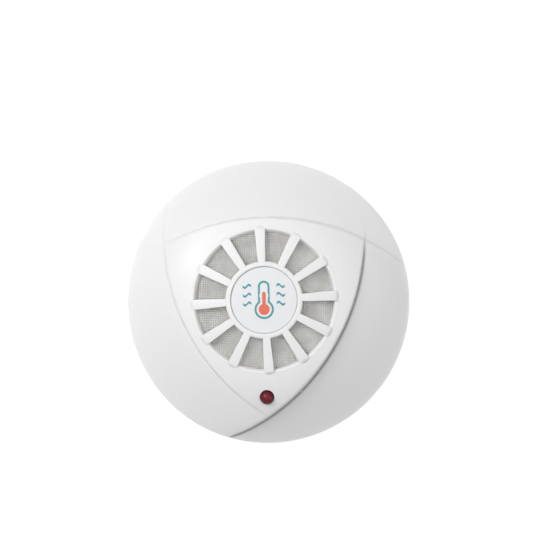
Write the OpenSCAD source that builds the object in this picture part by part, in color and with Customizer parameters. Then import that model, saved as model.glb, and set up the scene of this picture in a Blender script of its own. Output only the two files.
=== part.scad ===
// Ceiling heat detector: a plug-in sensing head under a three-scoop cover, twisted onto a
// wired bayonet base.  Sizes in millimetres.  The ceiling is the plane z = 0, the face looks
// along +Z and the alarm lamp is toward -Y.

/* [Overall] */
// Outside diameter of the head
head_d = 100; // [80:1:125]
// Height of the crown of the face above the ceiling
face_h = 47; // [38:0.2:60]
// Height of the base rim above the ceiling
base_h = 12; // [10:0.2:15]
// Gap between the base rim and the skirt of the head
seam_gap = 0.5; // [0.3:0.1:1]
// Wall thickness of the cover
wall = 2.2; // [1.6:0.1:2.8]

/* [Cover shape] */
// Radius of the shallow crown
crown_rad = 110; // [90:1:150]
// Width of the rounded shoulder, measured in from the rim
shoulder_w = 24; // [18:1:28]
// How far the shoulder curve would run past the rim before it stood upright
shoulder_over = 4; // [2:0.5:8]
// Centre of each scoop floor ball, sideways from the axis
scoop_shift = 8.5; // [6:0.5:11]
// Direction of that centre for the first scoop, degrees
scoop_dir = 125; // [110:1:140]
// Height of the scoop floor over the crown, at its ball's top
scoop_rise = 3; // [2:0.5:5]
// Depth of the scoop floor below the shoulder at the rim
scoop_dip = 4; // [2:0.5:5]
// Radius of each curved edge of the raised centre
edge_r = 76; // [60:1:100]
// Plain land between the grille openings and the nearest point of each edge
edge_land = 3.7; // [2.5:0.1:6]
// Lean of the scoop's upright side, degrees
edge_draft = 12; // [4:1:25]

/* [Grille] */
// Number of spokes
spokes = 12; // [8:1:16]
// Diameter of the hub inside the openings
hub_d = 26.5; // [20:0.5:30]
// Distance from the openings' outer edge to the centre of the alarm lamp
lamp_land = 9; // [8:0.5:12]
// Turn of the spokes from the lamp's axis, degrees
spoke_turn = 2.5; // [-15:0.5:15]
// Spoke width at the hub
spoke_w_in = 2.5; // [2:0.1:3.2]
// Spoke width at the outer edge
spoke_w_out = 3.5; // [2.5:0.1:4.5]
// Height of spokes and hub ring above the crown
spoke_raise = 0.45; // [0.2:0.05:0.8]
// Width of the ring round the badge
hub_ring_w = 1.85; // [1.4:0.05:2.5]
// Depth of the badge pocket below the crown
badge_pocket = 0.9; // [0.6:0.1:1.1]

/* [Base and bayonet] */
// Floor thickness of the base
floor_t = 2.5; // [2:0.1:3]
// Wall thickness of the base rim
base_wall = 2; // [1.6:0.1:2.6]
// Step in from the head's outside to the base's outside
base_step = 0.6; // [0.3:0.1:1]
// Cable opening diameter
cable_d = 22; // [16:1:26]
// Width of the lip round the cable opening
lip_w = 1.5; // [1:0.1:2]
// Room for wires between that lip and the terminal seats
wire_room = 5.7; // [4:0.1:7]
// Spacing of the ceiling screw slots
slot_pitch_x = 60; // [56:0.5:62]
// Spacing of the box screw slots
slot_pitch_y = 46; // [44:0.5:50]
// Half width of the screw slots
slot_r = 2.2; // [1.8:0.1:2.5]
// Length of the screw slots between end centres
slot_len = 5.6; // [3:0.2:7]
// Angle the head turns from locked to free, degrees
twist_angle = 22; // [18:1:24]
// Width of each bayonet hook, degrees
hook_w = 22; // [18:1:24]
// Thickness of the hook ledges
ledge_t = 1.8; // [1.4:0.1:2.4]
// Wall thickness of the hooks
hook_t = 1.6; // [1.3:0.1:2.2]
// Wall thickness of the ring that carries the lugs
ring_t = 1.8; // [1.4:0.1:2.4]
// Clear space between that ring and the terminals
ring_clear = 0.66; // [0.4:0.02:1.2]
// Reach of the lugs outside that ring
lug_reach = 4.2; // [3.4:0.1:5]
// Thickness of the lugs on the head
lug_t = 2.1; // [1.6:0.1:2.6]
// Gap between lugs and ledges
lug_gap = 0.2; // [0.15:0.05:0.4]

/* [Terminals] */
// Height of the terminal seats above the base floor
seat_h = 2.5; // [2:0.1:3]
// Thickness of the terminal strips and clamp plates
strip_t = 0.8; // [0.6:0.1:1]
// Radius of the terminal screw thread
screw_r = 1.5; // [1.25:0.05:1.75]
// Running clearance round the terminal screws
screw_gap = 0.05; // [0.03:0.01:0.1]
// Rise of screw and clamp when loosened
clamp_lift = 1.5; // [1:0.1:1.6]
// Distance from the terminal screw to the spring finger's crest
crest_x = 12; // [11:0.5:13]
// Width of the spring fingers
finger_w = 5; // [4:0.2:5]
// Height of the spring finger's crest above the ceiling
crest_z = 8.75; // [8:0.05:9]
// Gap between the spring fingers and the blades of the head
contact_gap = 0.15; // [0.1:0.05:0.3]

/* [Inside the head] */
// Radius of the screw bosses in the cover
boss_r = 3; // [2.6:0.1:3.6]
// Radius of the cover screws' threads
tail_screw_r = 1.45; // [1.2:0.05:1.6]
// Thickness of the chassis plate
chassis_t = 2; // [1.6:0.1:2.6]
// Clear height between chassis and circuit board
board_gap = 4.1; // [3:0.1:6]
// Thickness of the circuit board
board_t = 1.6; // [1:0.2:1.6]
// Distance from the board's edge to the lamp's centre
lamp_in = 6.2; // [5:0.1:8]
// Height of the air chamber under the grille
chamber_h = 6; // [4:0.5:8]
// Diameter of the alarm lamp
led_d = 5; // [3:0.5:5]
// Fit clearance of pieces that stay together
snug = 0.05; // [0.02:0.01:0.1]

/* [Hidden] */
$fn = 64;
e = 0.01;
R = head_d / 2;

// Cover surface: crown arc, then a tangent shoulder arc
crown_cz = face_h - crown_rad;
tan_r = R - shoulder_w;
sh_rad = (shoulder_w + shoulder_over) / (1 - tan_r / crown_rad);
tan_a = asin(tan_r / crown_rad);
sh_cx = (crown_rad - sh_rad) * sin(tan_a);
sh_cz = crown_cz + (crown_rad - sh_rad) * cos(tan_a);
rim_z = sh_cz + sqrt(pow(sh_rad, 2) - pow(R - sh_cx, 2));
// height of the cover surface at radius r, taken i below the outside
function dome_z(r, i = 0) = r < (crown_rad - i) * sin(tan_a)
  ? crown_cz + sqrt(pow(crown_rad - i, 2) - r * r)
  : sh_cz + sqrt(pow(sh_rad - i, 2) - pow(r - sh_cx, 2));
function crown_arc(i, r0, r1, n = 8) =
  [for (s = [0:n]) let (r = r0 + (r1 - r0) * s / n) [r, dome_z(r, i)]];
function dome_arc(i, n1 = 7, n2 = 14) = let (a1 = asin((R - i - sh_cx) / (sh_rad - i))) concat(
  [for (s = [0:n1 - 1]) let (a = tan_a * s / n1)
    [(crown_rad - i) * sin(a), crown_cz + (crown_rad - i) * cos(a)]],
  [for (s = [0:n2]) let (a = tan_a + (a1 - tan_a) * s / n2)
    [sh_cx + (sh_rad - i) * sin(a), sh_cz + (sh_rad - i) * cos(a)]]);

// Scoop floor: a ball through the raised crown point and the dipped rim
ball_h = face_h + scoop_rise - (rim_z - scoop_dip);
ball_r = (pow(R + scoop_shift, 2) + ball_h * ball_h) / (2 * ball_h);
ball_z = face_h + scoop_rise - ball_r;

// Board, lamp, grille and raised centre, each set in from the one before
boss_at = R - wall - 4.3;
board_r = boss_at - boss_r - 1;
led_at = board_r - lamp_in;
win_out = led_at - lamp_land;
win_in = hub_d / 2;
badge_r = win_in - hub_ring_w;
screen_t = 0.35;
carrier_r = win_out + edge_land - wall - 0.25;
edge_off = edge_r - win_out - edge_land;
edge_z = dome_z(edge_r - edge_off);

// Levels from the ceiling up
seat_z = floor_t + seat_h;
clamp_z = seat_z + strip_t + 0.1;
screw_head_z = clamp_z + strip_t;
screw_head_h = 2.2;
skirt_z = base_h + seam_gap;
chassis_z = base_h + seam_gap + 0.4;
ledge_z = base_h - 1 - ledge_t;
lug_z = ledge_z - lug_gap - lug_t;
board_z = chassis_z + chassis_t + board_gap;
board_top = board_z + board_t;
carrier_top = dome_z(carrier_r, wall + screen_t + 2 * snug);
carrier_z = carrier_top - chamber_h;
carrier_floor = 1.5;
room = carrier_z - board_top;

// Base radii, from the cable opening out
base_r = R - base_step;
cable_r = cable_d / 2;
seat_in = 4.8;
seat_out = 5.4;
term_r = cable_r + lip_w + wire_room + seat_in;
term_angles = [45, 135, 225, 315];
finger_end = crest_x + 3;
ring_in = norm([finger_end + 0.3, term_r + finger_w / 2]) + ring_clear;
ring_out = ring_in + ring_t;
lug_r = ring_out + lug_reach;
hook_in = lug_r + 0.6;
hook_out = hook_in + hook_t;
ledge_in = ring_out + 1.2;
hook_a0 = 11;
lug_w = hook_w - 6;
stop_w = 2.5;
lug_a = hook_a0 + 0.8;
stop_a1 = lug_a + lug_w + twist_angle + 0.8;

// Contacts and pieces on the board
chassis_r = R - wall - 0.3;
blade_r = norm([crest_x, term_r]);
blade_turn = atan2(crest_x, term_r);
blade_t = 0.5;
blade_z = crest_z + contact_gap;
rivet_at = blade_r - 8;
rivet_r = 0.9;
rivet_head_h = 0.9;
label_r = blade_r - 12.5;
post_at = board_r - 8.5;
post_angles = [75, 195, 315];
chip_at = board_r - 4;
sense_at = board_r - 11.7;
led_tip = dome_z(led_at - led_d / 2) + 0.5;
led_len = 8.6;
led_z = led_tip - led_len;
leg_at = carrier_r - 6;
leg_r = 2.2;
leg_angles = [30, 150, 270];
bead_r = 1.2;
fast_z = carrier_z + carrier_floor + 0.5 * (chamber_h - carrier_floor) + 0.6;
cap_r = 3.15;
cap_h = room - 3.4;
to92_h = min(5.2, room - 3.5);
cap_xy = [11, -6];
to92_xy = [5, 9];
surge_xy = [-5, 11];
chip_xy = [-2, -6];
bridge_xy = [-12, -1];

// Which piece to draw

// ---------------------------------------------------------------- shared shapes

// a ring or part ring with a rectangular section
module sector(r0, r1, a0, a1, z0, h) {
  rotate([0, 0, a0]) rotate_extrude(angle = a1 - a0)
    translate([r0, z0]) square([r1 - r0, h]);
}
module tube(r0, r1, z0, h) {
  rotate_extrude() translate([r0, z0]) square([r1 - r0, h]);
}
module disc(r, z0, h) { translate([0, 0, z0]) cylinder(r = r, h = h); }
module block(x0, x1, y0, y1, z0, z1) {
  translate([x0, y0, z0]) cube([x1 - x0, y1 - y0, z1 - z0]);
}
module polar(a, r) { rotate([0, 0, a]) translate([r, 0, 0]) children(); }
// local frame of terminal i: x along the turn, y outward, origin on the screw
module at_terminal(i) {
  rotate([0, 0, term_angles[i] - 90]) translate([0, term_r, 0]) children();
}
// a strip bent in the x-z plane, w wide across y
module bent(w, pts) {
  translate([0, w / 2, 0]) rotate([90, 0, 0]) linear_extrude(w) polygon(pts);
}
// cover body taken i below its outside, from z0 up
module dome(i, z0) {
  rotate_extrude() polygon(concat([[0, z0]], dome_arc(i), [[R - i, z0]]));
}
// air of one scoop, grown by i
module scoop(i) {
  difference() {
    disc(R + 20, ball_z, face_h + 30 - ball_z);
    polar(scoop_dir, scoop_shift) translate([0, 0, ball_z]) sphere(r = ball_r - i, $fn = 128);
    polar(150, edge_off) translate([0, 0, ball_z])
      cylinder(r1 = edge_r - i + (edge_z - ball_z) * tan(edge_draft),
        r2 = edge_r - i - (face_h + 40 - edge_z) * tan(edge_draft),
        h = face_h + 40 - ball_z, $fn = 128);
  }
}
module scooped(i, z0) {
  difference() {
    difference() {
      difference() {
        dome(i, z0);
        scoop(i);
      }
      rotate([0, 0, 120]) scoop(i);
    }
    rotate([0, 0, 240]) scoop(i);
  }
}
// plan of the spokes
module spoke_plan(r0, r1) {
  slope = (spoke_w_out - spoke_w_in) / (win_out - win_in);
  w0 = spoke_w_in + slope * (r0 - win_in);
  w1 = spoke_w_in + slope * (r1 - win_in);
  for (n = [0:spokes - 1]) rotate(90 + spoke_turn + n * 360 / spokes)
    polygon([[r0, -w0 / 2], [r1, -w1 / 2], [r1, w1 / 2], [r0, w0 / 2]]);
}

// ---------------------------------------------------------------- base side

module slot() {
  for (t = [-1, 1]) translate([t * slot_len / 2, 0, -1]) cylinder(r = slot_r, h = 20);
  block(-slot_len / 2, slot_len / 2, -slot_r, slot_r, -1, 19);
}
module mounting_base() {
  color("gainsboro") difference() {
    union() {
      rotate_extrude() polygon([[0, 0], [base_r - 0.8, 0], [base_r, 0.8], [base_r, base_h],
        [base_r - base_wall + 0.5, base_h], [base_r - base_wall, base_h - 0.5],
        [base_r - base_wall, floor_t], [0, floor_t]]);
      disc(cable_r + lip_w, floor_t - 1, 2.2);
      tube(ring_in - 1, ring_out + 1, floor_t - 1, 2);
      // each hook: a wall, a stop at either end and the ledge over the lug
      for (n = [0:2]) rotate([0, 0, 120 * n]) {
        sector(hook_in, hook_out, hook_a0 - stop_w, stop_a1 + stop_w, floor_t - 1, base_h - floor_t);
        sector(ledge_in, hook_in + 0.8, hook_a0 - stop_w + 0.4, hook_a0, floor_t - 0.8,
          base_h - floor_t - 0.4);
        sector(ledge_in, hook_in + 0.8, stop_a1, stop_a1 + stop_w - 0.4, floor_t - 0.8,
          base_h - floor_t - 0.4);
        sector(ledge_in + 0.2, hook_in + 0.6, hook_a0 - 1, hook_a0 + hook_w, ledge_z, ledge_t);
      }
      for (i = [0:3]) at_terminal(i) {
        block(-5.6, 5.2, -seat_in, seat_out, floor_t - 1, seat_z);
        translate([0, 0, floor_t - 1]) linear_extrude(seat_h + 3)
          polygon([[-5.6, -seat_in], [-4.7, -seat_in], [-4.7, seat_out - 1], [5.2, seat_out - 1],
            [5.2, seat_out], [-5.6, seat_out]]);
      }
    }
    disc(cable_r, -1, floor_t + 5);
    for (s = [-1, 1]) {
      translate([s * slot_pitch_x / 2, 0, 0]) slot();
      translate([0, s * slot_pitch_y / 2, 0]) rotate([0, 0, 90]) slot();
    }
    // clearance under the hooks, where the mould passes through the floor
    for (n = [0:2]) rotate([0, 0, 120 * n])
      sector(ledge_in - 0.3, hook_in - 0.4, hook_a0 + 0.5, hook_a0 + hook_w - 0.5, -1, floor_t + 2);
    for (i = [0:3]) at_terminal(i)
      translate([0, 0, 1]) cylinder(r = screw_r + 0.1, h = 20);
  }
}

module terminal_strip(i) {
  t = 0.6;
  color("goldenrod") at_terminal(i) difference() {
    union() {
      block(-4.5, 5.2, -4, 4.2, seat_z, seat_z + strip_t);
      bent(finger_w, [[5.2 - e, seat_z], [5.6, seat_z], [crest_x - 1, crest_z - t],
        [crest_x + 1, crest_z - t], [finger_end, crest_z - t - 1.2],
        [finger_end + 0.3, crest_z - 1.25], [crest_x + 1.2, crest_z], [crest_x - 1.2, crest_z],
        [5.4, seat_z + strip_t], [5.2 - e, seat_z + strip_t]]);
    }
    disc(screw_r + screw_gap, 0, 20);
  }
}

module clamp_plate(i) {
  color("khaki") at_terminal(i) difference() {
    union() {
      block(-3.8, 3.8, -3.9, 3.9, clamp_z, clamp_z + strip_t);
      block(-3.8, 3.8, -3.9, -3.3, clamp_z, clamp_z + 1.7);
      block(-3.8, 3.8, 3.3, 3.9, clamp_z, clamp_z + 1.7);
    }
    disc(screw_r + screw_gap, 0, 20);
  }
}

module terminal_screw(i) {
  top = screw_head_z + screw_head_h;
  color("silver") at_terminal(i) difference() {
    union() {
      rotate_extrude() polygon([[0, 1.3], [screw_r - 0.4, 1.3], [screw_r, 1.7],
        [screw_r, screw_head_z], [2.9, screw_head_z], [2.9, top - 0.5], [2.4, top], [0, top]]);
    }
    block(-4, 4, -0.4, 0.4, top - 1.1, top + 1);
    block(-0.4, 0.4, -1.9, 1.9, top - 1.1, top + 1);
  }
}

// ---------------------------------------------------------------- cover side

module front_cover() {
  color("white") difference() {
    union() {
      scooped(0, skirt_z);
      // raised spokes and hub ring
      intersection() {
        rotate_extrude() polygon(concat(crown_arc(-spoke_raise, 0, win_out + 1.6),
          [[win_out + 1.6, dome_z(win_out + 1.6, 1)], [0, dome_z(0, 1)]]));
        translate([0, 0, face_h - 20]) linear_extrude(30) union() {
          difference() { circle(r = win_in); circle(r = badge_r); }
          spoke_plan(win_in - 0.6, win_out + 1.5);
        }
      }
    }
    // inside, leaving the screw bosses standing
    difference() {
      scooped(wall, skirt_z - 1);
      for (n = [0:2]) polar(120 * n, boss_at) disc(boss_r, chassis_z + chassis_t, face_h);
    }
    // openings between the spokes
    translate([0, 0, face_h - 16]) linear_extrude(30) difference() {
      circle(r = win_out);
      circle(r = win_in);
      spoke_plan(win_in - 1, win_out + 1);
    }
    // badge pocket
    rotate_extrude() polygon(concat(crown_arc(badge_pocket, 0, badge_r + snug),
      [[badge_r + snug, face_h + 5], [0, face_h + 5]]));
    translate([0, -led_at, led_z]) cylinder(r = led_d / 2 + 0.1, h = 30);
    for (n = [0:2]) polar(120 * n, boss_at) disc(tail_screw_r + snug, 0, chassis_z + 9.8);
  }
}

module badge_disc() {
  arc = crown_arc(0.15, 0, badge_r - 0.3, 6);
  low = crown_arc(badge_pocket - snug, 0, badge_r, 6);
  color("whitesmoke") rotate_extrude()
    polygon(concat(arc, [[badge_r, dome_z(badge_r, 0.4)]], [for (s = [6:-1:0]) low[s]]));
}

module insect_screen() {
  hi = crown_arc(wall + snug, 0, carrier_r);
  lo = crown_arc(wall + snug + screen_t, 0, carrier_r);
  color("darkgray") rotate_extrude() polygon(concat(hi, [for (s = [8:-1:0]) lo[s]]));
}

module sensor_carrier() {
  color("white") difference() {
    union() {
      rotate_extrude() polygon([[0, carrier_z], [carrier_r, carrier_z], [carrier_r, carrier_top],
        [carrier_r - 1.2, dome_z(carrier_r - 1.2, wall + screen_t + 2 * snug)],
        [carrier_r - 1.2, carrier_z + carrier_floor], [0, carrier_z + carrier_floor]]);
      disc(3.2, carrier_z + carrier_floor - e, 1.4);
      for (a = leg_angles) polar(a, leg_at) disc(leg_r, board_top, room + e);
      for (a = leg_angles) polar(a, leg_at) disc(leg_r - 1.2, board_z + 0.2, board_t);
    }
    translate([0, 0, carrier_z - 1]) cylinder(r = 1.9, h = 6);
  }
}

// a bead on two straight leads
module bead(x0, z0, z1) {
  translate([0, 0, z1]) sphere(r = bead_r, $fn = 32);
  for (s = [-1, 1]) translate([s * x0, 0, z0]) cylinder(r = 0.25, h = z1 - z0, $fn = 16);
}
module thermistor_fast() {
  color("darkslategray") bead(0.7, board_z - 0.8, fast_z);
}
module thermistor_reference() {
  color("darkslategray") polar(-30, sense_at) bead(0.7, board_z - 0.8, board_top + 3.2);
}

module alarm_led() {
  color("darkred") translate([0, -led_at, 0]) union() {
    disc(led_d / 2, led_z, led_len - led_d / 2);
    disc(led_d / 2 + 0.4, led_z, 1);
    translate([0, 0, led_tip - led_d / 2]) sphere(r = led_d / 2, $fn = 48);
    for (s = [-1, 1]) translate([s * 1.27, 0, board_z - 0.8])
      cylinder(r = 0.25, h = led_z - board_z + 0.9, $fn = 16);
  }
}

module led_spacer() {
  color("ivory") translate([0, -led_at, 0]) difference() {
    disc(led_d / 2 + 0.4, board_top, led_z - board_top);
    for (s = [-1, 1]) translate([s * 1.27, 0, board_top - 1])
      cylinder(r = 0.35, h = led_z - board_top + 2, $fn = 16);
  }
}

// ---------------------------------------------------------------- electronics

module lead_hole(x, y, r = 0.4) {
  translate([x, y, board_z - 1]) cylinder(r = r, h = board_t + 2, $fn = 16);
}
module circuit_board() {
  color("seagreen") difference() {
    disc(board_r, board_z, board_t);
    for (a = post_angles) polar(a, post_at) disc(1.3, board_z - 1, board_t + 2);
    for (a = leg_angles) polar(a, leg_at) disc(leg_r - 1.2 + snug, board_z - 1, board_t + 2);
    for (i = [0:3]) polar(term_angles[i] + blade_turn, rivet_at) disc(0.75, board_z - 1, board_t + 2);
    for (s = [-1, 1]) {
      lead_hole(s * 0.7, 0);
      polar(-30, sense_at) lead_hole(s * 0.7, 0);
      lead_hole(s * 1.27, -led_at);
      translate(cap_xy) lead_hole(s * 1.25, 0);
      translate(to92_xy) lead_hole(s * 1.27, 0);
      translate(surge_xy) lead_hole(s * 5.5, 0);
    }
    translate(to92_xy) lead_hole(0, 0);
    block(board_r - 1.5, board_r + 1, -1.5, 1.5, board_z - 1, board_top + 1);
  }
}

module microcontroller() {
  color("dimgray") translate([chip_xy[0], chip_xy[1], board_top]) {
    difference() {
      block(-4.3, 4.3, -1.95, 1.95, 0.15, 1.6);
      translate([-3.5, -1.1, 1.5]) cylinder(r = 0.4, h = 1, $fn = 16);
    }
    for (s = [-1, 1], n = [0:6]) translate([1.27 * (n - 3), 0, 0]) scale([1, s, 1])
      rotate([0, 0, 90]) bent(0.42, [[1.9, 0.75], [2.25, 0.75], [2.45, 0], [3, 0], [3, 0.2],
        [2.6, 0.2], [2.4, 0.95], [1.9, 0.95]]);
  }
}

module electrolytic_capacitor() {
  color("midnightblue") translate(cap_xy) {
    rotate_extrude() polygon([[0, board_top + 0.3], [cap_r, board_top + 0.3],
      [cap_r, board_top + 1], [cap_r - 0.25, board_top + 1.3], [cap_r, board_top + 1.6],
      [cap_r, board_top + cap_h - 0.4], [cap_r - 0.4, board_top + cap_h],
      [cap_r - 0.8, board_top + cap_h], [cap_r - 0.9, board_top + cap_h - 0.2],
      [0, board_top + cap_h - 0.2]]);
    for (s = [-1, 1]) translate([s * 1.25, 0, board_z - 0.8])
      cylinder(r = 0.25, h = board_t + 1.3, $fn = 16);
  }
}

module bridge_rectifier() {
  color("dimgray") translate([bridge_xy[0], bridge_xy[1], board_top]) {
    block(-2.35, 2.35, -1.95, 1.95, 0.1, 2.5);
    for (s = [-1, 1], t = [-1, 1]) translate([t * 1.27, 0, 0]) scale([1, s, 1])
      rotate([0, 0, 90]) bent(0.6, [[1.9, 1.1], [2.4, 1.1], [2.6, 0], [3.4, 0], [3.4, 0.25],
        [2.8, 0.25], [2.6, 1.35], [1.9, 1.35]]);
  }
}

module alarm_transistor() {
  color("black") translate(to92_xy) {
    difference() {
      disc(2.35, board_top + 2.5, to92_h);
      block(-4, 4, -4, -1.4, board_top, board_top + 20);
    }
    for (s = [-1, 0, 1]) translate([s * 1.27, 0, board_z - 0.8])
      cylinder(r = 0.22, h = board_t + 3.4, $fn = 16);
  }
}

module surge_suppressor() {
  z = board_top + 1.9;
  color("black") translate(surge_xy) {
    translate([-3.1, 0, z]) rotate([0, 90, 0]) cylinder(r = 1.6, h = 6.2);
    for (s = [-1, 1]) {
      translate([s * 5.5, 0, board_z - 0.8]) cylinder(r = 0.3, h = z - board_z + 1.1, $fn = 16);
      translate([s > 0 ? 3 : -5.5, 0, z]) rotate([0, 90, 0]) cylinder(r = 0.3, h = 2.5, $fn = 16);
    }
  }
}

module chip(l, w, h) {
  block(-l / 2, l / 2, -w / 2, w / 2, 0, h);
}
module chip_resistors() {
  color("black") for (a = [95:10:175]) polar(a, chip_at) translate([0, 0, board_top]) chip(1.6, 3.2, 0.6);
}
module chip_capacitors() {
  color("tan") for (a = [206:10:256]) polar(a, chip_at) translate([0, 0, board_top]) chip(1.6, 3.2, 1.1);
}

// ---------------------------------------------------------------- chassis side

module chassis() {
  top = chassis_z + chassis_t;
  color("gainsboro") difference() {
    union() {
      rotate_extrude() polygon([[0, chassis_z], [chassis_r - 0.5, chassis_z],
        [chassis_r, chassis_z + 0.5], [chassis_r, top], [0, top]]);
      tube(ring_in, ring_out, lug_z, chassis_z - lug_z + e);
      for (n = [0:2])
        sector(ring_out - e, lug_r, 120 * n + lug_a, 120 * n + lug_a + lug_w, lug_z, lug_t);
      for (a = post_angles) polar(a, post_at) disc(2.8, top - e, board_gap + e);
      tube(board_r - 3, board_r - 1.8, top - e, 1.6);
    }
    for (a = post_angles) polar(a, post_at) disc(1 + snug / 2, chassis_z + 1, 20);
    for (n = [0:2]) polar(120 * n, boss_at) disc(tail_screw_r + 0.15, chassis_z - 1, 10);
    for (i = [0:3]) polar(term_angles[i] + blade_turn, rivet_at) disc(rivet_r + snug / 2, 0, 20);
  }
}

module contact_blades() {
  t = blade_t;
  c = chassis_z;
  b = blade_z;
  color("goldenrod") for (i = [0:3]) rotate([0, 0, term_angles[i] + blade_turn]) difference() {
    bent(4, [[blade_r - 11, c], [blade_r - 11, c - t], [blade_r - 5, c - t], [blade_r - 1.9, b],
      [blade_r + 1.5, b], [blade_r + 2.4, b + 0.7], [blade_r + 2.1, b + 1.1],
      [blade_r + 1.3, b + t], [blade_r - 1.6, b + t], [blade_r - 4.6, c]]);
    translate([rivet_at, 0, 0]) disc(rivet_r + snug / 2, 0, 20);
  }
}

module blade_rivets() {
  color("silver") for (i = [0:3]) polar(term_angles[i] + blade_turn, rivet_at) {
    rotate_extrude() polygon([[0, chassis_z - blade_t - rivet_head_h],
      [1.2, chassis_z - blade_t - rivet_head_h], [1.7, chassis_z - blade_t - 0.4],
      [1.7, chassis_z - blade_t], [rivet_r, chassis_z - blade_t],
      [rivet_r, chassis_z + chassis_t + 1],
      [0.6, chassis_z + chassis_t + 1.3], [0.6, board_top + 0.8], [0, board_top + 0.8]]);
  }
}

// pan head screw: point at z0, head from z1 toward the side of s
module pan_screw(r, hr, hh, z0, z1, s) {
  rotate_extrude() polygon([[0, z0], [r * 0.3, z0], [r, z0 - s * 1.2], [r, z1], [hr, z1],
    [hr, z1 - s * 0.6 * hh], [hr - 0.6, z1 - s * hh], [0, z1 - s * hh]]);
}
module cover_screws() {
  color("silver") for (n = [0:2]) polar(120 * n, boss_at) difference() {
    pan_screw(tail_screw_r, 2.7, 1.8, chassis_z + 9.5, chassis_z, 1);
    for (a = [0, 90]) rotate([0, 0, a]) block(-1.5, 1.5, -0.3, 0.3, chassis_z - 3, chassis_z - 1);
  }
}
module board_screws() {
  color("silver") for (a = post_angles) polar(a, post_at) difference() {
    pan_screw(1, 2.2, 1.5, chassis_z + 1.6, board_top, -1);
    for (b = [0, 90]) rotate([0, 0, b]) block(-1.2, 1.2, -0.3, 0.3, board_top + 0.8, board_top + 3);
  }
}

module rating_label() {
  color("white") disc(label_r, chassis_z - 0.12, 0.12);
}

mounting_base();
terminal_strip(0);  // terminal_strip_1
terminal_strip(1);  // terminal_strip_2
terminal_strip(2);  // terminal_strip_3
terminal_strip(3);  // terminal_strip_4
clamp_plate(0);  // clamp_plate_1
clamp_plate(1);  // clamp_plate_2
clamp_plate(2);  // clamp_plate_3
clamp_plate(3);  // clamp_plate_4
terminal_screw(0);  // terminal_screw_1
terminal_screw(1);  // terminal_screw_2
terminal_screw(2);  // terminal_screw_3
terminal_screw(3);  // terminal_screw_4
front_cover();
badge_disc();
insect_screen();
sensor_carrier();
thermistor_fast();
thermistor_reference();
alarm_led();
led_spacer();
circuit_board();
microcontroller();
electrolytic_capacitor();
bridge_rectifier();
alarm_transistor();
surge_suppressor();
chip_resistors();
chip_capacitors();
chassis();
contact_blades();
blade_rivets();
cover_screws();
board_screws();
rating_label();
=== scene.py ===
"""Looks of the ceiling heat detector: white cover with three swept scoops, spoked grille, alarm lamp."""
import math

import bpy
import numpy as np
from mathutils import Matrix, Vector


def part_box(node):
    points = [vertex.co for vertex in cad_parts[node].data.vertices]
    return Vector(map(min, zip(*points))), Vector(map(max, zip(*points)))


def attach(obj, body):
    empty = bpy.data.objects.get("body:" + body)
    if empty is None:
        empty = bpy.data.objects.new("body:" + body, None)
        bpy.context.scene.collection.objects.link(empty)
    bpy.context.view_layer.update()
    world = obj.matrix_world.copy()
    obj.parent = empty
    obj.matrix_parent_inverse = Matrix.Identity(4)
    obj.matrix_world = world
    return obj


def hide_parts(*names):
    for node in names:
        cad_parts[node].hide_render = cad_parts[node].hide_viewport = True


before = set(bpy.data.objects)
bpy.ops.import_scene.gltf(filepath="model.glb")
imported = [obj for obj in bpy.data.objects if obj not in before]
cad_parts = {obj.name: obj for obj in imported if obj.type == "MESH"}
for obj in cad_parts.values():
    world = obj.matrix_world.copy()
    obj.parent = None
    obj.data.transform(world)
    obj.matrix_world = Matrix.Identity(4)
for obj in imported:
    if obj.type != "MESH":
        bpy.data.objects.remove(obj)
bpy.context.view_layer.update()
MM = 0.001

# ---------------------------------------------------------------- camera
# Long lens nearly square to the face, a little below and to the right, with the lamp
# at the bottom.  The face sits slightly low and left in the picture.
aim = Vector((2.8, 9.2, 22.0)) * MM
tilt, toward, roll = math.radians(3.2), math.radians(-33.4), math.radians(1.3)
back = Vector((math.sin(tilt) * math.cos(toward), math.sin(tilt) * math.sin(toward), math.cos(tilt)))
distance = 0.7
cam = bpy.data.objects.new("camera", bpy.data.cameras.new("camera"))
bpy.context.scene.collection.objects.link(cam)
bpy.context.scene.camera = cam
cam.data.lens, cam.data.sensor_width = 129.7, 36
cam.data.clip_start, cam.data.clip_end = 0.01, 20
up = Vector((math.sin(roll), math.cos(roll), 0))
right = up.cross(back).normalized()
cam.matrix_world = Matrix((
    (right.x, back.cross(right).x, back.x, aim.x + distance * back.x),
    (right.y, back.cross(right).y, back.y, aim.y + distance * back.y),
    (right.z, back.cross(right).z, back.z, aim.z + distance * back.z),
    (0, 0, 0, 1)))

# ---------------------------------------------------------------- floor, light and world
# Pale paper under the back face, darker far out.  A soft key light from the upper left, a
# broad one in front and a weak fill from the right keep the scoops' walls readable.
bpy.context.scene.view_settings.view_transform = "Standard"
bpy.ops.mesh.primitive_plane_add(size=6, location=(0, 0, -0.0006))
floor = bpy.context.object
floor.name = "floor"
paper = bpy.data.materials.new("floor_paper")
paper.use_nodes = True
tree = paper.node_tree
shade = tree.nodes["Principled BSDF"]
spot = tree.nodes.new("ShaderNodeTexCoord")
far = tree.nodes.new("ShaderNodeVectorMath")
far.operation = "LENGTH"
fade = tree.nodes.new("ShaderNodeMapRange")
fade.interpolation_type = "SMOOTHSTEP"
for key, v in (("From Min", 0.14), ("From Max", 0.34), ("To Min", 0.0), ("To Max", 1.0)):
    fade.inputs[key].default_value = v
tint = tree.nodes.new("ShaderNodeValToRGB")
tint.color_ramp.elements[0].color = (0.93, 0.93, 0.93, 1)
tint.color_ramp.elements[1].color = (0.42, 0.42, 0.425, 1)
glow = tree.nodes.new("ShaderNodeMath")
glow.operation = "SUBTRACT"
glow.use_clamp = True
glow.inputs[0].default_value = 0.42
tree.links.new(spot.outputs["Object"], far.inputs[0])
tree.links.new(far.outputs["Value"], fade.inputs["Value"])
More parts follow.
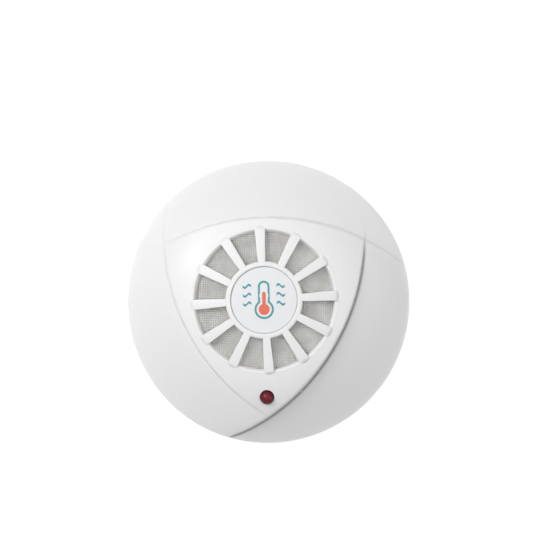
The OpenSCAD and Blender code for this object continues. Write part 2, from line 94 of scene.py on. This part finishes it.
tree.links.new(fade.outputs["Result"], tint.inputs["Fac"])
tree.links.new(fade.outputs["Result"], glow.inputs[1])
tree.links.new(tint.outputs["Color"], shade.inputs["Base Color"])
tree.links.new(tint.outputs["Color"], shade.inputs["Emission Color"])
tree.links.new(glow.outputs[0], shade.inputs["Emission Strength"])
shade.inputs["Roughness"].default_value = 0.95
shade.inputs["Specular IOR Level"].default_value = 0.0
floor.data.materials.append(paper)


def lamp(name, place, size, watts):
    """A square soft light that faces the detector."""
    light = bpy.data.lights.new(name, "AREA")
    light.size, light.energy = size, watts
    ob = bpy.data.objects.new(name, light)
    bpy.context.scene.collection.objects.link(ob)
    turn = (Vector((0, 0, 0.02)) - Vector(place)).to_track_quat("-Z", "Y")
    ob.matrix_world = Matrix.Translation(place) @ turn.to_matrix().to_4x4()


lamp("key_light", (-0.63, 0.44, 0.92), 0.5, 7.2)
lamp("front_light", (-0.1, 0.1, 1.6), 1.6, 9.3)
lamp("fill_light", (0.95, -0.15, 0.7), 0.9, 2.5)
world = bpy.data.worlds.new("surround")
bpy.context.scene.world = world
world.use_nodes = True
sky = world.node_tree.nodes["Background"]
sky.inputs["Color"].default_value = (0.95, 0.97, 1.0, 1)
sky.inputs["Strength"].default_value = 0.33


# ---------------------------------------------------------------- mounting base
# White ABS tray on the ceiling, injection moulded: satin skin, faint flow streaks and
# fine grain.  Its shape is the CAD one, so it only gets its surface here.
def detail_group(name, build):
    """A surface detail shared by several finishes: base colour in, colour, roughness and relief out."""
    g = bpy.data.node_groups.new(name, "ShaderNodeTree")
    for way, names in (("INPUT", ("Base", "Rough", "Scale", "Soil")),
                       ("OUTPUT", ("Color", "Roughness", "Height"))):
        for key in names:
            kind = "NodeSocketColor" if key in ("Base", "Color") else "NodeSocketFloat"
            g.interface.new_socket(key, in_out=way, socket_type=kind)
    build(g, g.nodes.new("NodeGroupInput"), g.nodes.new("NodeGroupOutput"))
    return g


def noise(g, scale, detail=4.0, rough=0.5, stretch=None, drive=None):
    """Noise on object coordinates; drive multiplies the scale."""
    place = g.nodes.new("ShaderNodeTexCoord")
    n = g.nodes.new("ShaderNodeTexNoise")
    n.inputs["Detail"].default_value = detail
    n.inputs["Roughness"].default_value = rough
    n.inputs["Scale"].default_value = scale
    source = place.outputs["Object"]
    if stretch:
        m = g.nodes.new("ShaderNodeMapping")
        m.inputs["Scale"].default_value = stretch
        g.links.new(source, m.inputs["Vector"])
        source = m.outputs["Vector"]
    g.links.new(source, n.inputs["Vector"])
    if drive is not None:
        k = g.nodes.new("ShaderNodeMath")
        k.operation = "MULTIPLY"
        k.inputs[1].default_value = scale
        g.links.new(drive, k.inputs[0])
        g.links.new(k.outputs[0], n.inputs["Scale"])
    return n.outputs["Fac"]


def span(g, value, low, high, from_low=0.35, from_high=0.65):
    """Value remapped from one span to another, clamped."""
    m = g.nodes.new("ShaderNodeMapRange")
    for key, v in (("From Min", from_low), ("From Max", from_high), ("To Min", low), ("To Max", high)):
        m.inputs[key].default_value = v
    g.links.new(value, m.inputs["Value"])
    return m.outputs["Result"]


def times(g, a, b, op="MULTIPLY"):
    """Two values, or a value and a number, combined."""
    m = g.nodes.new("ShaderNodeMath")
    m.operation = op
    g.links.new(a, m.inputs[0])
    if isinstance(b, (int, float)):
        m.inputs[1].default_value = b
    else:
        g.links.new(b, m.inputs[1])
    return m.outputs[0]


def blended(g, factor, a, b):
    """Colour a toward colour b by factor; a and b are sockets or colours."""
    m = g.nodes.new("ShaderNodeMix")
    m.data_type = "RGBA"
    g.links.new(factor, m.inputs["Factor"])
    for key, v in (("A", a), ("B", b)):
        pick = next(s for s in m.inputs if s.name == key and s.type == "RGBA")
        if isinstance(v, tuple):
            pick.default_value = (*v, 1)
        else:
            g.links.new(v, pick)
    return next(s for s in m.outputs if s.type == "RGBA")


def build_moulded(g, i, o):
    """Flow streaks and cloudiness in the colour, fine spark-eroded grain in the relief."""
    cloud = span(g, noise(g, 55, 3, drive=i.outputs["Scale"]), 0, 1)
    streak = span(g, noise(g, 26, 2, stretch=(1, 5, 1), drive=i.outputs["Scale"]), 0, 1)
    grain = noise(g, 3800, 2, drive=i.outputs["Scale"])
    dust = span(g, noise(g, 900, 1, drive=i.outputs["Scale"]), 0, 1, 0.66, 0.74)
    tone = blended(g, times(g, cloud, 0.05), i.outputs["Base"], (0.70, 0.68, 0.64))
    tone = blended(g, times(g, streak, 0.03), tone, (0.78, 0.79, 0.80))
    tone = blended(g, times(g, dust, i.outputs["Soil"]), tone, (0.42, 0.40, 0.37))
    g.links.new(tone, o.inputs["Color"])
    g.links.new(times(g, i.outputs["Rough"], span(g, times(g, cloud, grain, "ADD"), 0.88, 1.12, 0.4, 1.4)),
                o.inputs["Roughness"])
    g.links.new(times(g, times(g, grain, 0.6), times(g, streak, 0.25), "ADD"), o.inputs["Height"])


def build_metal(g, i, o):
    """Tumbled or plated metal: fine scratches both ways, duller patches, dark specks."""
    patch = span(g, noise(g, 240, 4, drive=i.outputs["Scale"]), 0, 1)
    fine = noise(g, 1500, 5, 0.7, stretch=(1, 9, 1), drive=i.outputs["Scale"])
    cross = noise(g, 1100, 5, 0.7, stretch=(8, 1, 1), drive=i.outputs["Scale"])
    pit = span(g, noise(g, 2600, 1, drive=i.outputs["Scale"]), 0, 1, 0.68, 0.76)
    tone = blended(g, times(g, patch, 0.28), i.outputs["Base"], (0.34, 0.30, 0.24))
    tone = blended(g, times(g, pit, i.outputs["Soil"]), tone, (0.09, 0.08, 0.07))
    g.links.new(tone, o.inputs["Color"])
    g.links.new(times(g, i.outputs["Rough"], span(g, times(g, fine, patch, "ADD"), 0.75, 1.35, 0.3, 1.5)),
                o.inputs["Roughness"])
    g.links.new(times(g, fine, cross, "ADD"), o.inputs["Height"])


moulded = detail_group("moulded_detail", build_moulded)
metal = detail_group("metal_detail", build_metal)


def finish(name, group, base, rough, scale=1.0, soil=0.06, bump=0.06, depth=0.00002, **sockets):
    """A material whose colour, gloss and relief come from a detail group; other sockets by name."""
    m = bpy.data.materials.new(name)
    m.use_nodes = True
    t = m.node_tree
    shader = t.nodes["Principled BSDF"]
    n = t.nodes.new("ShaderNodeGroup")
    n.node_tree = group
    n.inputs["Base"].default_value = (*base, 1)
    n.inputs["Rough"].default_value = rough
    n.inputs["Scale"].default_value = scale
    n.inputs["Soil"].default_value = soil
    b = t.nodes.new("ShaderNodeBump")
    b.inputs["Strength"].default_value = bump
    b.inputs["Distance"].default_value = depth
    t.links.new(n.outputs["Color"], shader.inputs["Base Color"])
    t.links.new(n.outputs["Roughness"], shader.inputs["Roughness"])
    t.links.new(n.outputs["Height"], b.inputs["Height"])
    t.links.new(b.outputs["Normal"], shader.inputs["Normal"])
    for key, v in sockets.items():
        shader.inputs[key.replace("_", " ")].default_value = v
    return m


def dress(material, *nodes):
    """Gives CAD pieces their material."""
    for n in nodes:
        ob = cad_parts[n]
        ob.data.materials.clear()
        ob.data.materials.append(material)


dress(finish("base_abs", moulded, (0.80, 0.80, 0.79), 0.42, bump=0.12), "mounting_base")

# ---------------------------------------------------------------- terminals
# Stamped brass strips with a spring finger, zinc plated clamp plates and M3 screws in the
# four seats of the base; pressed in, screwed down.
dress(finish("strip_brass", metal, (0.76, 0.58, 0.27), 0.28, Metallic=1.0, bump=0.1),
      *[f"terminal_strip_{i}" for i in range(1, 5)])
dress(finish("clamp_plate_zinc", metal, (0.68, 0.67, 0.62), 0.34, Metallic=1.0, bump=0.12),
      *[f"clamp_plate_{i}" for i in range(1, 5)])
dress(finish("screw_zinc_bright", metal, (0.72, 0.72, 0.71), 0.24, scale=1.3, Metallic=1.0, bump=0.08),
      *[f"terminal_screw_{i}" for i in range(1, 5)], "cover_screws", "board_screws")

# ---------------------------------------------------------------- chassis and its contacts
# Moulded white chassis with the bayonet ring, brass blades held by tubular rivets, and a
# blank label stuck in the middle of its back.
dress(finish("chassis_abs", moulded, (0.78, 0.78, 0.77), 0.46, bump=0.14), "chassis")
dress(finish("blade_brass", metal, (0.78, 0.61, 0.30), 0.26, Metallic=1.0, bump=0.08), "contact_blades")
dress(finish("rivet_brass_turned", metal, (0.80, 0.66, 0.36), 0.22, scale=1.6, Metallic=1.0), "blade_rivets")
dress(finish("label_stock", moulded, (0.86, 0.86, 0.84), 0.55, scale=2.0, bump=0.25), "rating_label")

# ---------------------------------------------------------------- circuit board
# Glass epoxy under green solder mask.  Faint lighter tracks run under the mask on a coarse
# grid.
board = finish("solder_mask", moulded, (0.03, 0.20, 0.09), 0.30, scale=1.5, bump=0.08)
t = board.node_tree
place = t.nodes.new("ShaderNodeTexCoord")
brick = t.nodes.new("ShaderNodeTexBrick")
brick.inputs["Scale"].default_value = 190
brick.inputs["Mortar Size"].default_value = 0.035
brick.inputs["Color1"].default_value = brick.inputs["Color2"].default_value = (0, 0, 0, 1)
brick.inputs["Mortar"].default_value = (1, 1, 1, 1)
t.links.new(place.outputs["Object"], brick.inputs["Vector"])
shader = t.nodes["Principled BSDF"]
under = shader.inputs["Base Color"].links[0].from_socket
track = blended(t, times(t, brick.outputs["Fac"], 0.6), under, (0.07, 0.36, 0.16))
t.links.new(track, shader.inputs["Base Color"])
dress(board, "circuit_board")

# ---------------------------------------------------------------- electronics
# Moulded epoxy packages, a sleeved capacitor can, glazed chip parts with a speckled
# ceramic body; soldered to the board.
dress(finish("epoxy_package", moulded, (0.035, 0.035, 0.038), 0.50, scale=2.5, soil=0.12, bump=0.3),
      "microcontroller", "bridge_rectifier", "alarm_transistor", "surge_suppressor")
dress(finish("can_sleeve_vinyl", moulded, (0.03, 0.05, 0.13), 0.26, scale=1.5), "electrolytic_capacitor")
dress(finish("resistor_glaze", moulded, (0.05, 0.05, 0.05), 0.22, scale=3, soil=0.2), "chip_resistors")
dress(finish("capacitor_ceramic", moulded, (0.50, 0.37, 0.23), 0.45, scale=3, soil=0.2, bump=0.2),
      "chip_capacitors")

# ---------------------------------------------------------------- sensing parts
# Epoxy dipped thermistor beads, a moulded cup that holds one under the grille, and the
# nylon standoff under the lamp.
dress(finish("bead_epoxy", moulded, (0.07, 0.10, 0.09), 0.15, scale=2, Coat_Weight=0.6),
      "thermistor_fast", "thermistor_reference")
dress(finish("carrier_pbt", moulded, (0.74, 0.735, 0.72), 0.55, bump=0.2), "sensor_carrier")
dress(finish("spacer_nylon", moulded, (0.04, 0.04, 0.04), 0.5, bump=0.2), "led_spacer")


# ---------------------------------------------------------------- insect screen
# Fine woven stainless wire cloth, pressed to the crown of the face and clamped between
# the cover and the cup.  Plain weave: each wire passes over and under its neighbours.
face_h, crown_rad = 47.0, 110.0
wall = 2.2


def crown(r, drop=0.0):
    """Height of the crown of the face at radius r, in millimetres, drop below the skin."""
    return face_h - crown_rad + np.sqrt((crown_rad - drop) ** 2 - np.square(r))


def coords(ob):
    """Vertex places of a mesh in millimetres."""
    co = np.empty(len(ob.data.vertices) * 3)
    ob.data.vertices.foreach_get("co", co)
    return co.reshape(-1, 3) / MM


def put(ob, co):
    """Vertex places back into the mesh."""
    ob.data.vertices.foreach_set("co", (co * MM).ravel())
    ob.data.update()


pitch, wire = 0.62, 0.135
weave_drop = wall + 0.23
sway = wire * 0.7
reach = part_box("insect_screen")[1].x / MM - 0.25
count = 2 * int(reach / pitch) + 1
bpy.ops.object.select_all(action="DESELECT")
bpy.ops.mesh.primitive_cylinder_add(vertices=4, radius=wire * MM, depth=pitch * MM,
                                    end_fill_type="NOTHING", rotation=(0, math.pi / 2, 0))
screen = bpy.context.object
screen.name = "screen_cloth"
bpy.ops.object.transform_apply(location=True, rotation=True, scale=True)
for title, copies, offset in (("length", count - 1, (pitch * MM, 0, 0)), ("row", count, (0, pitch * MM, 0))):
    row = screen.modifiers.new(title, "ARRAY")
    row.count = copies
    row.use_relative_offset = False
    row.use_constant_offset = True
    row.constant_offset_displace = offset
    row.use_merge_vertices = title == "length"
    row.merge_threshold = 0.01 * MM
    bpy.ops.object.modifier_apply(modifier=title)
co = coords(screen)
co[:, 0] -= (count - 2) / 2 * pitch
co[:, 1] -= (count - 1) / 2 * pitch
put(screen, co)
bpy.ops.object.duplicate()
weft = bpy.context.object
for ob, along, across, sign in ((screen, 0, 1, 1), (weft, 1, 0, -1)):
    co = coords(ob)
    if ob is weft:
        co = co[:, [1, 0, 2]]
    n = np.rint(co[:, along] / pitch) + np.rint(co[:, across] / pitch)
    r = np.hypot(co[:, 0], co[:, 1])
    co[:, 2] += crown(r, weave_drop) + sign * sway * (1 - 2 * (n % 2))
    put(ob, co)
bpy.ops.object.select_all(action="DESELECT")
screen.select_set(True)
weft.select_set(True)
bpy.context.view_layer.objects.active = screen
bpy.ops.object.join()
co = coords(screen)
bpy.ops.object.mode_set(mode="EDIT")
bpy.ops.mesh.select_mode(type="VERT")
bpy.ops.mesh.select_all(action="DESELECT")
bpy.ops.object.mode_set(mode="OBJECT")
screen.data.vertices.foreach_set("select", np.hypot(co[:, 0], co[:, 1]) > reach)
bpy.ops.object.mode_set(mode="EDIT")
bpy.ops.mesh.delete(type="VERT")
bpy.ops.object.mode_set(mode="OBJECT")
screen.data.materials.append(
    finish("wire_cloth", metal, (0.9, 0.9, 0.885), 0.5, Metallic=0.25, bump=0.05))
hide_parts("insect_screen")
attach(screen, "head")


# ---------------------------------------------------------------- cover shell
# Gloss white ABS, moulded in one piece with the grille.  A shallow crown rolls over into
# a round shoulder.  Three scoops sweep clockwise out of it, each under a curved wall that
# starts at nothing and deepens toward the rim, and leave a soft three-cornered platform.
cover_r = 50.0
shoulder_w, shoulder_over = 24.0, 4.0
tangent_r = cover_r - shoulder_w
shoulder_rad = (shoulder_w + shoulder_over) / (1 - tangent_r / crown_rad)
tangent = math.asin(tangent_r / crown_rad)
shoulder_x = (crown_rad - shoulder_rad) * math.sin(tangent)
shoulder_z = face_h - crown_rad + (crown_rad - shoulder_rad) * math.cos(tangent)
rim_z = shoulder_z + math.sqrt(shoulder_rad ** 2 - (cover_r - shoulder_x) ** 2)


def dome(r, inset=0.0):
    """Height of the unscooped skin at radius r, in millimetres."""
    r = np.asarray(r, float)
    edge = (crown_rad - inset) * math.sin(tangent)
    round_over = np.maximum((shoulder_rad - inset) ** 2 - (r - shoulder_x) ** 2, 0)
    return np.where(r < edge, crown(np.minimum(r, edge), inset), shoulder_z + np.sqrt(round_over))


def soft(v, k):
    """The larger of v and 0, with a round of half width k between them."""
    return np.where(np.abs(v) < k, (v + k) ** 2 / (4 * k), np.maximum(v, 0))


scoop_shift, scoop_rise, scoop_dip = 8.5, 3.0, 4.0
ball_h = face_h + scoop_rise - (rim_z - scoop_dip)
ball_r = ((cover_r + scoop_shift) ** 2 + ball_h ** 2) / (2 * ball_h)
ball_z = face_h + scoop_rise - ball_r
window_r, edge_land, edge_r = 24.3, 3.7, 76.0
edge_off = edge_r - window_r - edge_land
groove, groove_w = 0.3, 0.32


def polar(radius, degrees):
    """Place at a radius and an angle round the axis."""
    return radius * math.cos(math.radians(degrees)), radius * math.sin(math.radians(degrees))


def scoop(x, y, n):
    """Depth of one scoop's floor below the skin, distance past its edge, and how far out its
    wall's foot lies; n counts the three scoops."""
    (bx, by), (cx, cy) = polar(scoop_shift, 125 + 120 * n), polar(edge_off, 150 + 120 * n)
    ball = ball_z + np.sqrt(np.maximum(ball_r ** 2 - (x - bx) ** 2 - (y - by) ** 2, 0))
    deep = soft(dome(np.minimum(np.hypot(x, y), cover_r)) - ball, 1.3)
    past = np.hypot(x - cx, y - cy) - edge_r
    return deep, past, 0.28 + 0.15 * deep


def scooped(x, y):
    """How far the scoops take the skin down at a place; a fine groove runs along each wall's foot."""
    total = np.zeros_like(x)
    for n in range(3):
        deep, past, foot = scoop(x, y, n)
        one = deep * (1 - soft(1 - soft(past / foot, 0.12), 0.25))
        one = one + groove * np.minimum(deep / 2, 1) * np.exp(-((past - foot) / groove_w) ** 2)
        total = total + soft(one - total, 0.25)
    return total


def lathe(name, outline, steps):
    """A closed outline of (radius, height) in millimetres, spun round the axis."""
    bpy.ops.object.select_all(action="DESELECT")
    bpy.ops.mesh.primitive_plane_add(size=MM)
    ob = bpy.context.object
    ob.name = name
    bpy.ops.object.mode_set(mode="EDIT")
    bpy.ops.mesh.select_all(action="SELECT")
    bpy.ops.mesh.merge(type="CENTER")
    bpy.ops.transform.translate(value=(outline[0][0] * MM, 0, outline[0][1] * MM))
    for (r0, z0), (r1, z1) in zip(outline, outline[1:]):
        bpy.ops.mesh.extrude_region_move(
            TRANSFORM_OT_translate={"value": ((r1 - r0) * MM, 0, (z1 - z0) * MM)})
    bpy.ops.mesh.select_all(action="SELECT")
    bpy.ops.mesh.spin(steps=steps, angle=2 * math.pi, center=(0, 0, 0), axis=(0, 0, 1))
    bpy.ops.mesh.select_all(action="SELECT")
    bpy.ops.mesh.remove_doubles(threshold=0.002 * MM)
    bpy.ops.mesh.normals_make_consistent(inside=False)
    bpy.ops.object.mode_set(mode="OBJECT")
    return ob


rim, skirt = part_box("front_cover")[1].x / MM - 0.02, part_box("front_cover")[0].z / MM
fillet = 1.6
lip_r = 23.55
shelf = cover_r - wall - 0.1
radii = np.concatenate([[25.15, 25.8, 26.6, 27.2], np.arange(27.5, rim - fillet, 0.32),
                        rim - fillet * (1 - np.sin(np.radians(np.arange(0, 91, 11.25))))])
over = np.maximum(radii - (rim - fillet), 0)
skin = dome(np.minimum(radii, cover_r)) - (fillet - np.sqrt(np.maximum(fillet ** 2 - over ** 2, 0)))
inner = np.linspace(rim - wall, lip_r, 9)
outline = [(r, float(dome(r)) - d) for r, d in (
    (lip_r, wall), (23.8, 1.5), (24.0, 0.8), (24.2, 0.38), (24.4, 0.16), (24.75, 0.04))]
outline += [(float(a), float(b)) for a, b in zip(radii, skin)]
outline += [(rim, z) for z in np.linspace(skin[-1] - 1.6, skirt + 0.4, 6)]
outline += [(rim - 0.4, skirt), (rim - wall, skirt)]
outline += [(float(r), float(dome(min(r, shelf), wall))) for r in inner]
smooth_below = math.radians(42)
shell = lathe("cover_shell", outline, 760)
co = coords(shell)
r = np.hypot(co[:, 0], co[:, 1])
for n in range(3):
    cx, cy = polar(edge_off, 150 + 120 * n)
    deep, past, foot = scoop(co[:, 0], co[:, 1], n)
    for line in (np.zeros_like(past), foot):
        near = (np.abs(past - line) < np.minimum(0.12, foot / 3)) & (r > 27.3) & (r < rim - fillet)
        near &= (co[:, 2] > 20) & (deep > 0.15)
        step = (line - past) / (past + edge_r)
        co[near, 0] += ((co[:, 0] - cx) * step)[near]
        co[near, 1] += ((co[:, 1] - cy) * step)[near]
drop = scooped(co[:, 0], co[:, 1])
lid = np.interp(r, radii, skin)
ceiling = dome(np.minimum(r, shelf), wall)
top = (np.abs(co[:, 2] - lid) < 0.3) & (co[:, 2] > ceiling + 0.5) & (r > 25.1)
under = (np.abs(co[:, 2] - ceiling) < 0.3) & (r < rim - 2)
side = ~top & ~under & (r > rim - 3)
height = skin[-1] - skirt
co[side, 2] -= (drop * np.clip((co[:, 2] - skirt) / height, 0, 1))[side]
co[top | under, 2] -= drop[top | under]
put(shell, co)
# Painted shade: a darker tone along the foot of each scoop's wall, kept as a point attribute on the skin. It
# is strongest on the wall turned away from the key light and faint on the other two. It stands in for that
# wall's shade and its contact shadow.
wall_shade = np.zeros(len(co))
for n, amount in enumerate((1.0, 0.12, 0.06)):
    deep, past, foot = scoop(co[:, 0], co[:, 1], n)
    mark = np.where(past < foot, np.clip(past / foot, 0, 1) ** 1.5, np.exp(-((past - foot) / 0.5) ** 2))
    wall_shade = np.maximum(wall_shade, np.where(top, amount * mark * np.clip(deep / 0.9, 0, 1), 0))
layer = shell.data.attributes.new("painted_shade", "FLOAT", "POINT")
layer.data.foreach_set("value", wall_shade.astype(np.float32))
bpy.ops.object.shade_smooth_by_angle(angle=smooth_below)

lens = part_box("alarm_led")
lamp_y = (lens[0].y + lens[1].y) / 2
bpy.ops.object.select_all(action="DESELECT")
bpy.ops.mesh.primitive_cylinder_add(vertices=64, radius=2.54 * MM, depth=0.03,
                                    location=(0, lamp_y, 0.04))
cutter = bpy.context.object
hole = shell.modifiers.new("lamp_hole", "BOOLEAN")
hole.operation, hole.solver, hole.object = "DIFFERENCE", "EXACT", cutter
bpy.ops.object.select_all(action="DESELECT")
bpy.context.view_layer.objects.active = shell
shell.select_set(True)
bpy.ops.object.modifier_apply(modifier="lamp_hole")
bpy.data.objects.remove(cutter)

# ---------------------------------------------------------------- grille hub and spokes
# Part of the same moulding: a raised ring round the badge pocket, twelve spokes that widen
# outward and run out on the platform, and three bosses inside for the screws.
hub_r, pocket_r, pocket, raised = 13.25, 11.45, 0.9, 0.45
hub = lathe("hub", [(r, float(crown(r, drop)) + lift) for r, drop, lift in (
    (0, wall, 0), (7, wall, 0), (12.9, wall, 0), (13.2, 1.7, 0), (hub_r, 0, 0), (13.15, 0, 0.27),
    (12.9, 0, 0.42), (12.6, 0, raised), (11.95, 0, raised), (11.65, 0, 0.40), (11.48, 0, 0.22),
    (pocket_r, 0, 0), (pocket_r, pocket, 0), (6, pocket, 0), (0, pocket, 0))], 160)
bpy.ops.object.shade_smooth_by_angle(angle=smooth_below)
spokes = []
spoke_end, run_out, spoke_w, widening = 24.2, 1.3, 2.5, 1.0 / 11.05
along = np.concatenate([np.linspace(12.9, spoke_end, 9),
                        spoke_end + run_out * np.sin(np.radians(np.arange(15, 91, 15)))])
for n in range(12):
    bpy.ops.object.select_all(action="DESELECT")
    bpy.ops.mesh.primitive_plane_add(size=MM, rotation=(0, math.pi / 2, 0))
    spoke = bpy.context.object
    bpy.ops.object.transform_apply(location=True, rotation=True, scale=True)
    bpy.ops.object.mode_set(mode="EDIT")
    bpy.ops.mesh.select_all(action="SELECT")
    bpy.ops.transform.translate(value=(along[0] * MM, 0, 0))
    for a, b in zip(along, along[1:]):
        bpy.ops.mesh.extrude_region_move(TRANSFORM_OT_translate={"value": ((b - a) * MM, 0, 0)})
    bpy.ops.mesh.select_all(action="SELECT")
    bpy.ops.mesh.normals_make_consistent(inside=False)
    bpy.ops.object.mode_set(mode="OBJECT")
    co = coords(spoke)
    r = co[:, 0].copy()
    w = spoke_w + (r - hub_r) * widening
    w = w * np.sqrt(np.clip(1 - np.clip((r - spoke_end) / (run_out + 0.01), 0, 1) ** 2, 0.002, 1))
    co[:, 1] = np.sign(co[:, 1]) * w / 2
    proud = raised - 0.6 * np.clip((r - spoke_end) / run_out, 0, 1) ** 2
    co[:, 2] = np.where(co[:, 2] > 0, crown(r) + proud, crown(r, wall))
    put(spoke, co)
    soft_edge = spoke.modifiers.new("soft_edge", "BEVEL")
    soft_edge.width, soft_edge.segments = 0.42 * MM, 3
    soft_edge.limit_method, soft_edge.angle_limit = "ANGLE", math.radians(50)
    bpy.ops.object.modifier_apply(modifier="soft_edge")
    spoke.data.transform(Matrix.Rotation(math.radians(92.5 + 30 * n), 4, "Z"))
    bpy.ops.object.shade_smooth_by_angle(angle=smooth_below)
    spokes.append(spoke)
boss_at, boss_r, boss_foot = 43.5, 3.0, 14.9
for n in range(3):
    x, y = polar(boss_at, 120 * n)
    roof = float(min(dome(np.hypot(x + i, y + j)) - scooped(np.array([x + i]), np.array([y + j]))[0]
                     for i in (-boss_r, 0, boss_r) for j in (-boss_r, 0, boss_r))) - 1.0
    bpy.ops.mesh.primitive_cylinder_add(vertices=32, radius=boss_r * MM, depth=(roof - boss_foot) * MM,
                                        location=(x * MM, y * MM, (roof + boss_foot) / 2 * MM))
    bpy.ops.object.transform_apply(location=True, rotation=True, scale=True)
    spokes.append(bpy.context.object)
bpy.ops.object.select_all(action="DESELECT")
for ob in [shell, hub, *spokes]:
    ob.select_set(True)
bpy.context.view_layer.objects.active = shell
bpy.ops.object.join()
shell.data.materials.clear()
white = finish("cover_abs", moulded, (0.80, 0.79, 0.785), 0.45, soil=0.03, bump=0.05)
t = white.node_tree
# Painted shade: the attribute darkens the white toward dark grey along the feet of the scoop walls, with a
# little noise.
painted_shade = t.nodes.new("ShaderNodeAttribute")
painted_shade.attribute_name = "painted_shade"
shader = t.nodes["Principled BSDF"]
tone = shader.inputs["Base Color"].links[0].from_socket
patchy = times(t, painted_shade.outputs["Fac"], span(t, noise(t, 900, 3), 0.9, 1.0))
t.links.new(blended(t, patchy, tone, (0.2, 0.195, 0.185)), shader.inputs["Base Color"])
shell.data.materials.append(white)
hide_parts("front_cover")
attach(shell, "head")

# ---------------------------------------------------------------- alarm lamp
# Dark red tinted 5 mm lens with tinned leads below its flange; soldered to the board on
# its standoff, the dome just out of the hole in the cover.
red = finish("lamp_lens", moulded, (0.16, 0.006, 0.016), 0.3, soil=0.1, bump=0.02, Specular_IOR_Level=0.22)
t = red.node_tree
place = t.nodes.new("ShaderNodeTexCoord")
split = t.nodes.new("ShaderNodeSeparateXYZ")
t.links.new(place.outputs["Object"], split.inputs["Vector"])
lead = span(t, split.outputs["Z"], 1, 0, lens[0].z + 0.0160, lens[0].z + 0.0162)
shader = t.nodes["Principled BSDF"]
tone = shader.inputs["Base Color"].links[0].from_socket
# Painted shade: the lens's colour darkens from its middle toward its rim.
flat = t.nodes.new("ShaderNodeVectorMath")
flat.operation = "DISTANCE"
level = t.nodes.new("ShaderNodeVectorMath")
level.operation = "MULTIPLY"
level.inputs[1].default_value = (1, 1, 0)
t.links.new(place.outputs["Object"], level.inputs[0])
t.links.new(level.outputs["Vector"], flat.inputs[0])
flat.inputs[1].default_value = (0, lamp_y, 0)
tone = blended(t, span(t, flat.outputs["Value"], 0, 0.85, 0.0013, 0.0022), tone, (0.05, 0.004, 0.008))
t.links.new(blended(t, lead, tone, (0.62, 0.61, 0.58)), shader.inputs["Base Color"])
t.links.new(lead, shader.inputs["Metallic"])
dress(red, "alarm_led")

# ---------------------------------------------------------------- badge
# Round glossy plastic badge glued in the hub's pocket, with a plain printed pictogram of
# a thermometer in two inks.
dress(finish("badge_gloss", moulded, (0.74, 0.745, 0.755), 0.22, soil=0.02, bump=0.03), "badge_disc")


def print_on(name, outline, ink):
    """A flat closed shape of (x, y) in millimetres, laid on the badge with a slight thickness."""
    bpy.ops.object.select_all(action="DESELECT")
    bpy.ops.mesh.primitive_circle_add(vertices=len(outline), radius=MM, fill_type="NGON")
    ob = bpy.context.object
    ob.name = name
    flat = coords(ob)
    flat[:, :2] = outline
    flat[:, 2] = 0
    put(ob, flat)
    bpy.ops.object.mode_set(mode="EDIT")
    bpy.ops.mesh.select_all(action="SELECT")
    bpy.ops.mesh.extrude_region_move(TRANSFORM_OT_translate={"value": (0, 0, 0.04 * MM)})
    bpy.ops.mesh.select_all(action="SELECT")
    bpy.ops.mesh.quads_convert_to_tris()
    bpy.ops.mesh.normals_make_consistent(inside=False)
    bpy.ops.object.mode_set(mode="OBJECT")
    co = coords(ob)
    co[:, 2] += crown(np.hypot(co[:, 0], co[:, 1]), 0.15) - 0.01
    put(ob, co)
    ob.data.materials.append(ink)
    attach(ob, "head")


def arc(cx, cy, r, a0, a1, n=16):
    """Points along an arc, degrees."""
    return [(cx + r * math.cos(math.radians(a0 + (a1 - a0) * s / n)),
             cy + r * math.sin(math.radians(a0 + (a1 - a0) * s / n))) for s in range(n + 1)]


def band(path, inside):
    """A closed shape between an outer path and an inner one that runs the same way."""
    return path + inside[::-1]


teal = finish("ink_teal", moulded, (0.03, 0.27, 0.30), 0.3, scale=3, soil=0.1)
orange = finish("ink_orange", moulded, (0.72, 0.12, 0.05), 0.3, scale=3, soil=0.1)
tube = arc(0, 4.6, 2.0, 0, 180) + arc(0, -3.2, 3.3, 127.3, 412.7, 36)
bore = arc(0, 4.6, 1.3, 0, 180) + arc(0, -3.2, 2.6, 120, 420, 36)
print_on("print_tube", band(tube + tube[:1], bore + bore[:1]), teal)
print_on("print_column", arc(0, 2.2, 0.62, 0, 180, 8) + arc(0, -3.2, 1.9, 109, 431, 30), orange)
for n, turn in enumerate((1, -1)):
    for k, y in enumerate((-1.2, 1.8, 4.8)):
        mid = [(turn * (4.3 + 2.9 * u), y + 0.5 * math.sin(2 * math.pi * u)) for u in np.linspace(0, 1, 15)]
        print_on(f"print_wave_{n}_{k}", band([(a, b + 0.4) for a, b in mid],
                                             [(a, b - 0.4) for a, b in mid]), teal)
